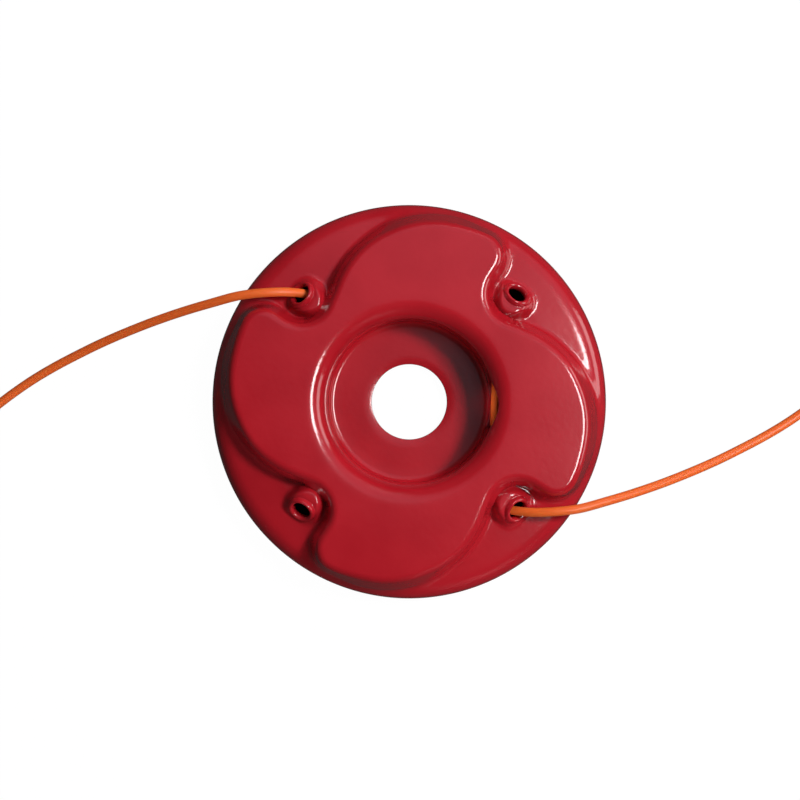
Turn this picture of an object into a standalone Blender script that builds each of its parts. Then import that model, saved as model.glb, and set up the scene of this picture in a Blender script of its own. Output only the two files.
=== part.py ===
"""Brush cutter trimmer head: one pressed steel sheet with four line pockets, and two nylon lines.

Metres, +Z up. The ground side of the head faces up and the open back faces down, so the head
stands on the edge of its skirt. The origin is on the bore's axis, in the plane of that edge.
"""

import math

import bmesh
import bpy
import numpy as np
from mathutils import Matrix, Vector
from mathutils.geometry import delaunay_2d_cdt

# Sheet and overall form
SHEET = 0.0015
HEAD_DIAMETER = 0.132
HEAD_HEIGHT = 0.021
BORE_DIAMETER = 0.0254
RIM_FILLET = 0.006

# Cup in the middle, which takes the arbor's flange and nut
CUP_FLOOR_LIFT = 0.0015
CUP_BOTTOM_RADIUS = 0.0272
CUP_MOUTH_RADIUS = 0.0275
CUP_FLOOR_FILLET = 0.0022
CUP_MOUTH_FILLET = 0.006

# Plateau and pocket floors
PLATEAU_FALL = 0.0008
POCKET_COUNT = 4
POCKET_ANGLE = math.radians(45)
POCKET_DEPTH = 0.0084
POCKET_FALL = 0.0010

# Plan outline of the plateau: a lobe between two pockets, and one pocket's two walls
LOBE_RADIUS = 0.0613
POCKET_END_RADIUS = 0.0090
LEAD_WALL_HEADING = math.radians(113)
TRAIL_WALL_HEADING = math.radians(12)
LEAD_TURN_RADIUS = 0.034
TRAIL_TURN_RADIUS = 0.008

# Pocket wall in section
WALL_SLOPE = math.radians(70)
WALL_EDGE_RADIUS = 0.0028
WALL_FOOT_RADIUS = 0.0020

# Line holes, each in a tilted seat at the inner end of its pocket
LINE_DIAMETER = 0.003
HOLE_CIRCLE_RADIUS = 0.050
HOLE_CLEARANCE = 0.0035
HOLE_TILT = math.radians(42)
HOLE_TURN = math.radians(10)
HOLE_LIP_WIDTH = 0.0015
HOLE_LIP_LENGTH = 0.0028
HOLE_LIP_PROUD = 0.0008
SEAT_LIFT = 0.0028
SEAT_RISE = 0.0026
SEAT_HALF_WIDTH = 0.0052
SEAT_SIDE_WIDTH = 0.0038
SEAT_BLEND = 0.0016

# Window in the cup's side wall
WINDOW_ANGLE = math.radians(-2)
WINDOW_HALF_WIDTH = 0.0112
WINDOW_SILL = 0.0055
WINDOW_SHOULDER = 0.0105
WINDOW_CROWN = 0.0204
WINDOW_REACH = 0.0340
WINDOW_CORNER = 0.0015

# Mesh: samples on each stretch of a quarter of the outline, and around the small round forms
ROUND_STEPS = 104
LOBE_STEPS = 4
LEAD_TURN_STEPS = 6
LEAD_WALL_STEPS = 4
POCKET_END_STEPS = 8
TRAIL_WALL_STEPS = 2
TRAIL_TURN_STEPS = 6
FINE_STEPS = 24
HOLE_SIDES = 20
LIP_SIDES = 8
RIM_RING_TURNS = (math.radians(45), math.radians(29), math.radians(14), 0.0)
RING_MARGIN = 0.0008
WALL_MARGIN = 0.0006
SEAT_RUN_STOPS = (-0.0060, -0.0045, -0.0030, -0.0015, 0.0, 0.0015, 0.0030, 0.0045, 0.0060)
SEAT_SIDE_STOPS = (-0.0090, -0.0071, -0.0052, -0.0026, 0.0, 0.0026, 0.0052, 0.0071, 0.0090)

# Routes of the two lines, from the end hidden behind the cup to the free end on the ground
LINE_POINT_SPACING = 0.006
LINE_LEFT_ROUTE = [
    (0.0163, -0.0263, 0.0075), (0.0218, -0.0219, 0.0075), (0.0264, -0.0161, 0.0075),
    (0.0284, -0.0120, 0.0075), (0.0286, -0.0065, 0.0075), (0.0288, -0.0010, 0.0075),
    (0.0290, 0.0045, 0.0075), (0.0291, 0.0100, 0.0075), (0.0275, 0.0141, 0.0075),
    (0.0246, 0.0187, 0.0075), (0.0197, 0.0238, 0.0075), (0.0135, 0.0278, 0.0075),
    (0.0064, 0.0303, 0.0075), (-0.0035, 0.0318, 0.0076), (-0.0135, 0.0333, 0.0081),
    (-0.0228, 0.0346, 0.0096), (-0.0296, 0.0352, 0.0122), (-0.0353, 0.0358, 0.0150),
    (-0.0406, 0.0361, 0.0173), (-0.0475, 0.0358, 0.0187), (-0.0558, 0.0348, 0.0184),
    (-0.0648, 0.0326, 0.0163), (-0.0745, 0.0300, 0.0135), (-0.0845, 0.0269, 0.0105),
    (-0.0940, 0.0235, 0.0078), (-0.1030, 0.0199, 0.0054), (-0.1115, 0.0160, 0.0036),
    (-0.1200, 0.0117, 0.0024), (-0.1280, 0.0070, 0.0018), (-0.1355, 0.0018, 0.00165),
    (-0.1425, -0.0036, 0.00165),
]
LINE_RIGHT_ROUTE = [
    (-0.0163, 0.0263, 0.0075), (-0.0218, 0.0219, 0.0075), (-0.0262, 0.0164, 0.0075),
    (-0.0293, 0.0099, 0.0075), (-0.0307, 0.0035, 0.0075), (-0.0307, -0.0035, 0.0075),
    (-0.0293, -0.0099, 0.0075), (-0.0262, -0.0164, 0.0075), (-0.0218, -0.0219, 0.0075),
    (-0.0163, -0.0263, 0.0075), (-0.0118, -0.0286, 0.0075), (-0.0064, -0.0303, 0.0075),
    (0.0035, -0.0318, 0.0076), (0.0135, -0.0333, 0.0081), (0.0228, -0.0346, 0.0096),
    (0.0296, -0.0352, 0.0122), (0.0353, -0.0358, 0.0150), (0.0406, -0.0361, 0.0173),
    (0.0475, -0.0358, 0.0187), (0.0558, -0.0348, 0.0184), (0.0648, -0.0326, 0.0163),
    (0.0745, -0.0300, 0.0135), (0.0845, -0.0269, 0.0105), (0.0940, -0.0235, 0.0078),
    (0.1030, -0.0199, 0.0054), (0.1115, -0.0160, 0.0036), (0.1200, -0.0117, 0.0024),
    (0.1280, -0.0070, 0.0018), (0.1355, -0.0018, 0.00165), (0.1425, 0.0036, 0.00165),
]

# Colours, linear
ENAMEL_RED = (0.420, 0.016, 0.026, 1.0)
NYLON_ORANGE = (0.752, 0.127, 0.027, 1.0)


def clear_scene():
    """Remove every object of the scene."""
    for item in list(bpy.data.objects):
        bpy.data.objects.remove(item, do_unlink=True)


def make_material(name, colour, roughness, metallic):
    """Return a Principled material."""
    material = bpy.data.materials.new(name)
    material.use_nodes = True
    shader = material.node_tree.nodes["Principled BSDF"]
    shader.inputs["Base Color"].default_value = colour
    shader.inputs["Roughness"].default_value = roughness
    shader.inputs["Metallic"].default_value = metallic
    material.diffuse_color = colour
    return material


def add_object(name, mesh):
    """Link a mesh to the scene as a named object."""
    item = bpy.data.objects.new(name, mesh)
    bpy.context.scene.collection.objects.link(item)
    return item


def unit(angle):
    """Unit vector in plan at an angle."""
    return np.array([math.cos(angle), math.sin(angle)])


def left_of(heading):
    """Unit vector in plan to the left of a heading."""
    return unit(heading + math.pi / 2)


def arc(centre, radius, start, end, steps, side):
    """Points and pocket-side normals on an arc, without its last point."""
    angles = start + (end - start) * np.arange(steps) / steps
    spokes = np.column_stack([np.cos(angles), np.sin(angles)])
    return centre + radius * spokes, side * spokes


def straight(start, end, steps, normal):
    """Points and pocket-side normals on a straight, without its last point."""
    share = (np.arange(steps) / steps)[:, None]
    return start + (end - start) * share, np.repeat(normal[None, :], steps, axis=0)


def turn_centre(start, heading, radius, way):
    """Centre of a turn that is tangent to a wall and, from inside, to the lobe circle.

    The wall starts at a point and runs along a heading; way is 1 ahead of the point, -1 behind.
    """
    base = start + radius * left_of(heading)
    along = way * unit(heading)
    half = base @ along
    reach = LOBE_RADIUS - radius
    return base + along * (-half + math.sqrt(half * half - base @ base + reach * reach))


def quarter_outline(scale):
    """One quarter of the plateau's outline, for a pocket on +X, with its samples times scale."""
    hole = np.array([HOLE_CIRCLE_RADIUS, 0.0])
    lead_left = left_of(LEAD_WALL_HEADING)
    trail_left = left_of(TRAIL_WALL_HEADING)
    lead_end = hole + POCKET_END_RADIUS * lead_left
    trail_start = hole + POCKET_END_RADIUS * trail_left
    lead_turn = turn_centre(lead_end, LEAD_WALL_HEADING, LEAD_TURN_RADIUS, -1)
    trail_turn = turn_centre(trail_start, TRAIL_WALL_HEADING, TRAIL_TURN_RADIUS, 1)
    lead_start = lead_turn - LEAD_TURN_RADIUS * lead_left
    trail_end = trail_turn - TRAIL_TURN_RADIUS * trail_left
    lead_lobe = math.atan2(lead_turn[1], lead_turn[0])
    trail_lobe = math.atan2(trail_turn[1], trail_turn[0])
    lead_side = LEAD_WALL_HEADING - math.pi / 2
    trail_side = TRAIL_WALL_HEADING - math.pi / 2
    quarter = 2 * math.pi / POCKET_COUNT
    origin = np.zeros(2)
    pieces = [
        arc(lead_turn, LEAD_TURN_RADIUS, lead_lobe, lead_side, LEAD_TURN_STEPS * scale, 1),
        straight(lead_start, lead_end, LEAD_WALL_STEPS * scale, -lead_left),
        arc(hole, POCKET_END_RADIUS, lead_side + math.pi, trail_side + math.pi,
            POCKET_END_STEPS * scale, -1),
        straight(trail_start, trail_end, TRAIL_WALL_STEPS * scale, -trail_left),
        arc(trail_turn, TRAIL_TURN_RADIUS, trail_side, trail_lobe, TRAIL_TURN_STEPS * scale, 1),
        arc(origin, LOBE_RADIUS, trail_lobe, lead_lobe + quarter, LOBE_STEPS * scale, 1),
    ]
    points = np.concatenate([piece[0] for piece in pieces])
    normals = np.concatenate([piece[1] for piece in pieces])
    return points, normals


def turned(vectors, angle):
    """Plan vectors turned about the bore's axis."""
    cosine, sine = math.cos(angle), math.sin(angle)
    return vectors @ np.array([[cosine, sine], [-sine, cosine]])


def pocket_angles():
    """Angle of each pocket's hole about the bore."""
    return [POCKET_ANGLE + 2 * math.pi * k / POCKET_COUNT for k in range(POCKET_COUNT)]


def full_outline(scale):
    """The whole outline of the plateau as points and pocket-side normals."""
    points, normals = quarter_outline(scale)
    angles = pocket_angles()
    return (np.concatenate([turned(points, a) for a in angles]),
            np.concatenate([turned(normals, a) for a in angles]))


def outline_distance(plan):
    """Signed distance from the plateau's outline, positive on the pocket side."""
    points, normals = full_outline(FINE_STEPS)
    gaps = plan[:, None, :] - points[None, :, :]
    nearest = np.argmin(np.einsum("ijk,ijk->ij", gaps, gaps), axis=1)
    rows = np.arange(len(plan))
    across = np.einsum("ij,ij->i", gaps[rows, nearest], normals[nearest])
    length = np.linalg.norm(gaps[rows, nearest], axis=1)
    return np.where(across < 0, -length, length)


def plateau_height(radius):
    """Height of the plateau, which falls a little towards the skirt."""
    start = CUP_MOUTH_RADIUS + CUP_MOUTH_FILLET
    span = HEAD_DIAMETER / 2 - start
    share = np.clip((radius - start) / span, 0, 1)
    return HEAD_HEIGHT - PLATEAU_FALL * share ** 2


def pocket_height(radius):
    """Height of a pocket's floor, which falls from the hole towards the skirt."""
    span = HEAD_DIAMETER / 2 - HOLE_CIRCLE_RADIUS
    share = np.clip((radius - HOLE_CIRCLE_RADIUS) / span, 0, 1)
    return HEAD_HEIGHT - POCKET_DEPTH - POCKET_FALL * share


def rim_drop(radius):
    """Drop of the skirt's round edge, which begins one fillet radius inside the rim."""
    reach = np.clip(radius - (HEAD_DIAMETER / 2 - RIM_FILLET), 0, RIM_FILLET)
    return RIM_FILLET - np.sqrt(RIM_FILLET ** 2 - reach ** 2)


def wall_drop(distance, depth):
    """Drop of the pocket wall below the plateau: a round edge, a slope and a round foot."""
    edge = WALL_EDGE_RADIUS * math.sin(WALL_SLOPE)
    foot = WALL_FOOT_RADIUS * math.sin(WALL_SLOPE)
    edge_drop = WALL_EDGE_RADIUS * (1 - math.cos(WALL_SLOPE))
    foot_drop = WALL_FOOT_RADIUS * (1 - math.cos(WALL_SLOPE))
    width = edge + foot + (depth - edge_drop - foot_drop) / math.tan(WALL_SLOPE)
    x = np.clip(distance + width / 2, 0, width)
    on_edge = WALL_EDGE_RADIUS - np.sqrt(WALL_EDGE_RADIUS ** 2 - np.minimum(x, edge) ** 2)
    on_foot = WALL_FOOT_RADIUS - np.sqrt(WALL_FOOT_RADIUS ** 2 - np.minimum(width - x, foot) ** 2)
    on_slope = edge_drop + (x - edge) * math.tan(WALL_SLOPE)
    return np.where(x < edge, on_edge, np.where(x > width - foot, depth - on_foot, on_slope))


def blend_max(a, b, width):
    """The higher of two heights, with a round valley between them."""
    return np.maximum(a, b) + np.maximum(width - np.abs(a - b), 0) ** 2 / (4 * width)


def blend_min(a, b, width):
    """The lower of two heights, with a round ridge between them."""
    return -blend_max(-a, -b, width)


def seat_centre_height():
    """Height of a hole's centre on its tilted seat."""
    return HEAD_HEIGHT - POCKET_DEPTH + SEAT_LIFT


def seat_height(plan, floor):
    """Height of the tilted seats round the line holes, at plan points."""
    quarter = 2 * math.pi / POCKET_COUNT
    bearing = np.arctan2(plan[:, 1], plan[:, 0]) - POCKET_ANGLE
    folded = (bearing + quarter / 2) % quarter - quarter / 2
    radius = np.linalg.norm(plan, axis=1)
    outward = radius * np.cos(folded) - HOLE_CIRCLE_RADIUS
    across = radius * np.sin(folded)
    run = outward * math.cos(HOLE_TURN) + across * math.sin(HOLE_TURN)
    side = across * math.cos(HOLE_TURN) - outward * math.sin(HOLE_TURN)
    slope = seat_centre_height() - math.tan(HOLE_TILT) * run
    slope = blend_min(slope, np.full_like(slope, seat_centre_height() + SEAT_RISE), SEAT_BLEND)
    share = np.clip((np.abs(side) - SEAT_HALF_WIDTH) / SEAT_SIDE_WIDTH, 0, 1)
    fade = 1 - share * share * (3 - 2 * share)
    return floor - SEAT_BLEND + (slope - floor + SEAT_BLEND) * fade


def sheet_height(plan):
    """Height of the sheet's upper face over plateau, walls, pockets and the skirt's round edge."""
    radius = np.linalg.norm(plan, axis=1)
    plateau = plateau_height(radius)
    floor = pocket_height(radius)
    pressed = plateau - wall_drop(outline_distance(plan), plateau - floor)
    seat = blend_max(pressed, seat_height(plan, floor), SEAT_BLEND)
    inside = np.where(pressed > plateau - WALL_FOOT_RADIUS / 2, pressed, np.minimum(seat, plateau))
    return inside - rim_drop(radius)


def wall_offsets():
    """Distances from the outline at which the mesh follows a pocket wall."""
    edge_drop = WALL_EDGE_RADIUS * (1 - math.cos(WALL_SLOPE))
    foot_drop = WALL_FOOT_RADIUS * (1 - math.cos(WALL_SLOPE))
    slope = (POCKET_DEPTH - edge_drop - foot_drop) / math.tan(WALL_SLOPE)
    edge = WALL_EDGE_RADIUS * math.sin(WALL_SLOPE)
    foot = WALL_FOOT_RADIUS * math.sin(WALL_SLOPE)
    half = (edge + slope + foot) / 2
    shares = np.array([0.0, 1 / 3, 2 / 3, 1.0])
    on_edge = WALL_EDGE_RADIUS * np.sin(WALL_SLOPE * shares) - half
    on_foot = half - WALL_FOOT_RADIUS * np.sin(WALL_SLOPE * shares[::-1])
    return np.concatenate([on_edge, on_foot])


def fillet_ring(angles, centre_radius, centre_height, radius, turn):
    """A ring on a fillet, at an angle of turn from the outward direction."""
    reach = centre_radius + radius * math.cos(turn)
    height = centre_height + radius * math.sin(turn)
    return level_ring(angles, reach, height)


def level_ring(angles, radius, height):
    """A round ring at one height."""
    heights = np.broadcast_to(np.asarray(height, dtype=float), angles.shape)
    return np.column_stack([radius * np.cos(angles), radius * np.sin(angles), heights])


def cup_rings(angles):
    """Rings from the bore over the cup's floor and wall to the plateau."""
    floor = CUP_FLOOR_LIFT + SHEET
    rings = [level_ring(angles, BORE_DIAMETER / 2, floor)]
    foot = CUP_BOTTOM_RADIUS - CUP_FLOOR_FILLET
    for share in (0.0, 0.34, 0.67, 1.0):
        turn = math.pi / 2 * (share - 1)
        rings.append(fillet_ring(angles, foot, floor + CUP_FLOOR_FILLET, CUP_FLOOR_FILLET, turn))
    mouth = CUP_MOUTH_RADIUS + CUP_MOUTH_FILLET
    for share in (0.0, 0.25, 0.5, 0.75, 1.0):
        turn = math.pi - math.pi / 2 * share
        rings.append(fillet_ring(angles, mouth, HEAD_HEIGHT - CUP_MOUTH_FILLET,
                                 CUP_MOUTH_FILLET, turn))
    return rings


def seat_points():
    """Plan points that give each hole's tilted seat its form."""
    run, side = np.meshgrid(np.array(SEAT_RUN_STOPS), np.array(SEAT_SIDE_STOPS))
    local = np.column_stack([run.ravel(), side.ravel()])
    spot = turned(local, HOLE_TURN) + np.array([HOLE_CIRCLE_RADIUS, 0.0])
    return np.concatenate([turned(spot, angle) for angle in pocket_angles()])


def middle_zone(inner, outer):
    """Triangles between two round rings, with edges that follow the pocket walls.

    Returns the points in plan, the triangles, and each ring's places among the points.
    """
    count = len(inner)
    points, normals = full_outline(1)
    limit = np.linalg.norm(outer[0]) - RING_MARGIN
    offsets = wall_offsets()
    plan = [inner, outer]
    loop = np.arange(count)
    edges = [np.column_stack([loop, (loop + 1) % count]),
             np.column_stack([loop, (loop + 1) % count]) + count]
    total = 2 * count
    for offset in offsets:
        curve = points + offset * normals
        keep = np.linalg.norm(curve, axis=1) < limit
        places = np.cumsum(keep) - 1 + total
        joined = keep & np.roll(keep, -1)
        edges.append(np.column_stack([places, np.roll(places, -1)])[joined])
        plan.append(curve[keep])
        total += int(keep.sum())
    seats = seat_points()
    clear = outline_distance(seats) > offsets[-1] + WALL_MARGIN
    plan.append(seats[clear & (np.linalg.norm(seats, axis=1) < limit)])
    plan = np.concatenate(plan)
    result = delaunay_2d_cdt([Vector(p) for p in (plan * 1000).tolist()],
                             np.concatenate(edges).tolist(), [], 0, 1e-5)
    spots = np.array([tuple(p) for p in result[0]]) / 1000
    faces = np.array(result[2])
    middle = np.linalg.norm(spots[faces].mean(axis=1), axis=1)
    faces = faces[middle > np.linalg.norm(inner[0]) * math.cos(math.pi / count)]
    rings = np.zeros(2 * count, dtype=int)
    for place, sources in enumerate(result[3]):
        for source in sources:
            if source < 2 * count:
                rings[source] = place
    return spots, faces, rings[:count], rings[count:]


def skirt_rings(angles):
    """Rings over the steep part of the skirt's round edge, and down to the sheet's end."""
    edge = HEAD_DIAMETER / 2 - RIM_FILLET
    rings = []
    for turn in RIM_RING_TURNS:
        ring = level_ring(angles, edge + RIM_FILLET * math.cos(turn), 0.0)
        ring[:, 2] = sheet_height(ring[:, :2])
        rings.append(ring)
    rings.append(level_ring(angles, HEAD_DIAMETER / 2, 0.0))
    return rings


def band(lower, upper):
    """Four-sided faces between two rings of point numbers."""
    return np.column_stack([lower, upper, np.roll(upper, -1), np.roll(lower, -1)]).tolist()


def sheet_mesh():
    """The sheet's upper face: round rings in the cup and the skirt, triangles between them."""
    angles = 2 * math.pi * np.arange(ROUND_STEPS) / ROUND_STEPS
    cup = cup_rings(angles)
    skirt = skirt_rings(angles)
    spots, triangles, inner, outer = middle_zone(cup[-1][:, :2], skirt[0][:, :2])
    heights = sheet_height(spots)
    heights[inner] = HEAD_HEIGHT
    points = [np.column_stack([spots, heights])] + cup[:-1] + skirt[1:]
    loop = np.arange(ROUND_STEPS)
    first = len(spots)
    chain = [loop + first + ROUND_STEPS * k for k in range(len(cup) - 1)] + [inner]
    first += ROUND_STEPS * (len(cup) - 1)
    fall = [outer] + [loop + first + ROUND_STEPS * k for k in range(len(skirt) - 1)]
    faces = triangles.tolist()
    for rings in (chain, fall):
        for lower, upper in zip(rings, rings[1:]):
            faces += band(lower, upper)
    mesh = bpy.data.meshes.new("shell")
    mesh.from_pydata(np.concatenate(points).tolist(), [], faces)
    mesh.validate()
    mesh.shade_smooth()
    return mesh


def revolved(profile, sides):
    """A closed mesh turned about Z from a profile that starts and ends on the axis."""
    shape = bmesh.new()
    rings = []
    for radius, height in profile[1:-1]:
        turns = [2 * math.pi * k / sides for k in range(sides)]
        rings.append([shape.verts.new((radius * math.cos(a), radius * math.sin(a), height))
                      for a in turns])
    top = shape.verts.new((0, 0, profile[0][1]))
    bottom = shape.verts.new((0, 0, profile[-1][1]))
    for k in range(sides):
        n = (k + 1) % sides
        shape.faces.new((top, rings[0][k], rings[0][n]))
        for upper, lower in zip(rings, rings[1:]):
            shape.faces.new((upper[k], lower[k], lower[n], upper[n]))
        shape.faces.new((bottom, rings[-1][n], rings[-1][k]))
    bmesh.ops.recalc_face_normals(shape, faces=shape.faces)
    return shape


def hole_radius():
    """Radius of a line hole: half the line and its clearance."""
    return (LINE_DIAMETER + HOLE_CLEARANCE) / 2


def hole_frame(angle):
    """Placement of a line hole, with Z along the hole's axis."""
    bearing = angle + HOLE_TURN
    centre = HOLE_CIRCLE_RADIUS * unit(angle)
    place = Matrix.Translation(Vector((centre[0], centre[1], seat_centre_height())))
    return place @ Matrix.Rotation(bearing, 4, "Z") @ Matrix.Rotation(HOLE_TILT, 4, "Y")


def at_each_hole(name, make_shape):
    """One hidden object that holds a copy of a shape at each line hole."""
    whole = bmesh.new()
    for angle in pocket_angles():
        shape = make_shape()
        shape.transform(hole_frame(angle))
        piece = bpy.data.meshes.new(name)
        shape.to_mesh(piece)
        shape.free()
        whole.from_mesh(piece)
        bpy.data.meshes.remove(piece)
    mesh = bpy.data.meshes.new(name)
    whole.to_mesh(mesh)
    whole.free()
    return hidden(add_object(name, mesh))


def hidden(item):
    """Mark an object as a tool of the model, not a piece of it."""
    item.hide_render = True
    item.display_type = "WIRE"
    return item


def lip_shape():
    """Rolled lip of a line hole, as a closed ring that is oval in section."""
    shape = bmesh.new()
    middle = hole_radius() + HOLE_LIP_WIDTH / 2
    height = HOLE_LIP_PROUD - HOLE_LIP_LENGTH / 2
    rings = []
    for k in range(HOLE_SIDES):
        a = 2 * math.pi * k / HOLE_SIDES
        ring = []
        for n in range(LIP_SIDES):
            t = 2 * math.pi * n / LIP_SIDES
            reach = middle + HOLE_LIP_WIDTH / 2 * math.cos(t)
            ring.append(shape.verts.new((reach * math.cos(a), reach * math.sin(a),
                                         height + HOLE_LIP_LENGTH / 2 * math.sin(t))))
        rings.append(ring)
    for k in range(HOLE_SIDES):
        here, there = rings[k], rings[(k + 1) % HOLE_SIDES]
        for n in range(LIP_SIDES):
            m = (n + 1) % LIP_SIDES
            shape.faces.new((here[n], there[n], there[m], here[m]))
    bmesh.ops.recalc_face_normals(shape, faces=shape.faces)
    return shape


def hole_shape():
    """Cutter that opens the sheet up to the middle of the rolled lip."""
    radius = hole_radius() + HOLE_LIP_WIDTH / 2
    profile = [(0, SHEET), (radius, SHEET), (radius, -2 * SHEET), (0, -2 * SHEET)]
    return revolved(profile, HOLE_SIDES)


def window_shape():
    """Cutter of the window: an arch through the cup's wall and into its mouth's fillet."""
    side = [(WINDOW_HALF_WIDTH, WINDOW_SHOULDER), (WINDOW_HALF_WIDTH, WINDOW_SILL + WINDOW_CORNER),
            (WINDOW_HALF_WIDTH - WINDOW_CORNER * 0.3, WINDOW_SILL + WINDOW_CORNER * 0.3),
            (WINDOW_HALF_WIDTH - WINDOW_CORNER, WINDOW_SILL)]
    crown = WINDOW_CROWN - WINDOW_SHOULDER
    arch = []
    for k in range(1, 16):
        a = math.pi * k / 16
        arch.append((-WINDOW_HALF_WIDTH * math.cos(a), WINDOW_SHOULDER + crown * math.sin(a)))
    outline = side + [(-y, z) for y, z in reversed(side)] + arch
    shape = bmesh.new()
    near = [shape.verts.new((CUP_BOTTOM_RADIUS / 2 + BORE_DIAMETER / 2, y, z)) for y, z in outline]
    far = [shape.verts.new((WINDOW_REACH, y, z)) for y, z in outline]
    shape.faces.new(near)
    shape.faces.new(far)
    for k in range(len(outline)):
        n = (k + 1) % len(outline)
        shape.faces.new((near[k], near[n], far[n], far[k]))
    bmesh.ops.recalc_face_normals(shape, faces=shape.faces)
    shape.transform(Matrix.Rotation(WINDOW_ANGLE, 4, "Z"))
    return shape


def window_object():
    """Hidden cutter for the window in the cup's wall."""
    shape = window_shape()
    mesh = bpy.data.meshes.new("window_cut")
    shape.to_mesh(mesh)
    shape.free()
    return hidden(add_object("window_cut", mesh))


def add_boolean(item, name, operation, operand):
    """Add an exact Boolean with one operand."""
    step = item.modifiers.new(name, "BOOLEAN")
    step.operation = operation
    step.solver = "EXACT"
    step.object = operand


def build_shell():
    """The pressed sheet, with its thickness, line holes and window."""
    shell = add_object("shell", sheet_mesh())
    shell.data.materials.append(make_material("red_enamel", ENAMEL_RED, 0.22, 0.0))
    thickness = shell.modifiers.new("Sheet", "SOLIDIFY")
    thickness.thickness = SHEET
    thickness.offset = -1
    shell.modifiers.new("Facets", "TRIANGULATE")
    add_boolean(shell, "Holes", "DIFFERENCE", at_each_hole("hole_cuts", hole_shape))
    add_boolean(shell, "Window", "DIFFERENCE", window_object())
    add_boolean(shell, "Lips", "UNION", at_each_hole("hole_lips", lip_shape))
    return shell


def smooth_path(route, spacing):
    """Evenly spaced points on a smooth curve through a route's own points."""
    points = np.array(route)
    ends = np.vstack([2 * points[0] - points[1], points, 2 * points[-1] - points[-2]])
    dense = []
    for index in range(1, len(ends) - 2):
        before, start, end, after = ends[index - 1:index + 3]
        t = np.linspace(0, 1, 24, endpoint=False)[:, None]
        dense.append(0.5 * (2 * start + (end - before) * t
                            + (2 * before - 5 * start + 4 * end - after) * t ** 2
                            + (3 * start - before - 3 * end + after) * t ** 3))
    dense = np.vstack(dense + [points[-1:]])
    run = np.concatenate([[0], np.cumsum(np.linalg.norm(np.diff(dense, axis=0), axis=1))])
    marks = np.linspace(0, run[-1], int(round(run[-1] / spacing)) + 1)
    return np.column_stack([np.interp(marks, run, dense[:, axis]) for axis in range(3)])


def build_line(name, route, material):
    """One trimmer line as a round tube along its route."""
    curve = bpy.data.curves.new(name, "CURVE")
    curve.dimensions = "3D"
    curve.bevel_depth = LINE_DIAMETER / 2
    curve.bevel_resolution = 2
    curve.use_fill_caps = True
    path = smooth_path(route, LINE_POINT_SPACING)
    spline = curve.splines.new("POLY")
    spline.points.add(len(path) - 1)
    for point, place in zip(spline.points, path):
        point.co = (place[0], place[1], place[2], 1)
    curve.materials.append(material)
    return add_object(name, curve)


def main():
    """Build the head."""
    clear_scene()
    build_shell()
    nylon = make_material("orange_nylon", NYLON_ORANGE, 0.35, 0.0)
    build_line("line_left", LINE_LEFT_ROUTE, nylon)
    build_line("line_right", LINE_RIGHT_ROUTE, nylon)


main()
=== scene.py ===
"""Scene of a brush cutter trimmer head: one pressed and enamelled sheet, and two nylon lines.

Metres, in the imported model's frame: +Z up out of the cup's mouth, the skirt's edge at Z = 0.
The sheet and both lines are made again here, finer than in the model. The sizes are the same but
for the line holes' seats and collars, the window's crown, the walls outside the lobes and the
rounded cut edges.
"""

import logging
import math
from dataclasses import dataclass, field
from enum import Enum

import bmesh
import bpy
import numpy as np
from mathutils import Matrix, Vector
from mathutils.geometry import delaunay_2d_cdt


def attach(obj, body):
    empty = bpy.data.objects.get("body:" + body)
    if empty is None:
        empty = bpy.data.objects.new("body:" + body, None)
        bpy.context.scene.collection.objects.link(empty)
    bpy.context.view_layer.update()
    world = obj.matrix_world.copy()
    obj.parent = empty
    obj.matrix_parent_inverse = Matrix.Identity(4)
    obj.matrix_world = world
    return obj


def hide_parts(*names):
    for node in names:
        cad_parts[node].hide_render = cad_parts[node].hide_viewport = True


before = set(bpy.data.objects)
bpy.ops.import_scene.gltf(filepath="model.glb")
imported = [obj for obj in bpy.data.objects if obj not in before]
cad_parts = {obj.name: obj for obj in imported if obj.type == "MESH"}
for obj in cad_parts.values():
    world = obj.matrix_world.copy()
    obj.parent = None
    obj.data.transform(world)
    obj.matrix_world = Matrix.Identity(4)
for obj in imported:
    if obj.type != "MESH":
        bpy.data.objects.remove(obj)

LOG = logging.getLogger("trimmer_head")
BODY = "root"
PATH_SAMPLES = 24


class Lamp(Enum):
    """What a lamp does in the studio."""

    KEY = "key"
    WINDOW = "window"
    STRIP = "strip"
    FILL = "fill"
    SPOT = "spot"


def unit(angle: float) -> np.ndarray:
    """Unit vector in plan: (cos, sin) of the angle."""
    return np.array([math.cos(angle), math.sin(angle)])


def left_of(heading: float) -> np.ndarray:
    """Unit vector in plan a quarter turn to the left of a heading."""
    return unit(heading + math.pi / 2)


def turned(vectors: np.ndarray, angle: float) -> np.ndarray:
    """Plan vectors turned about the bore's axis by an angle."""
    cosine, sine = math.cos(angle), math.sin(angle)
    return vectors @ np.array([[cosine, sine], [-sine, cosine]])


def smoothstep(values: np.ndarray | float) -> np.ndarray:
    """3 t^2 - 2 t^3 with t held between 0 and 1."""
    share = np.clip(values, 0.0, 1.0)
    return share * share * (3.0 - 2.0 * share)


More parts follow.
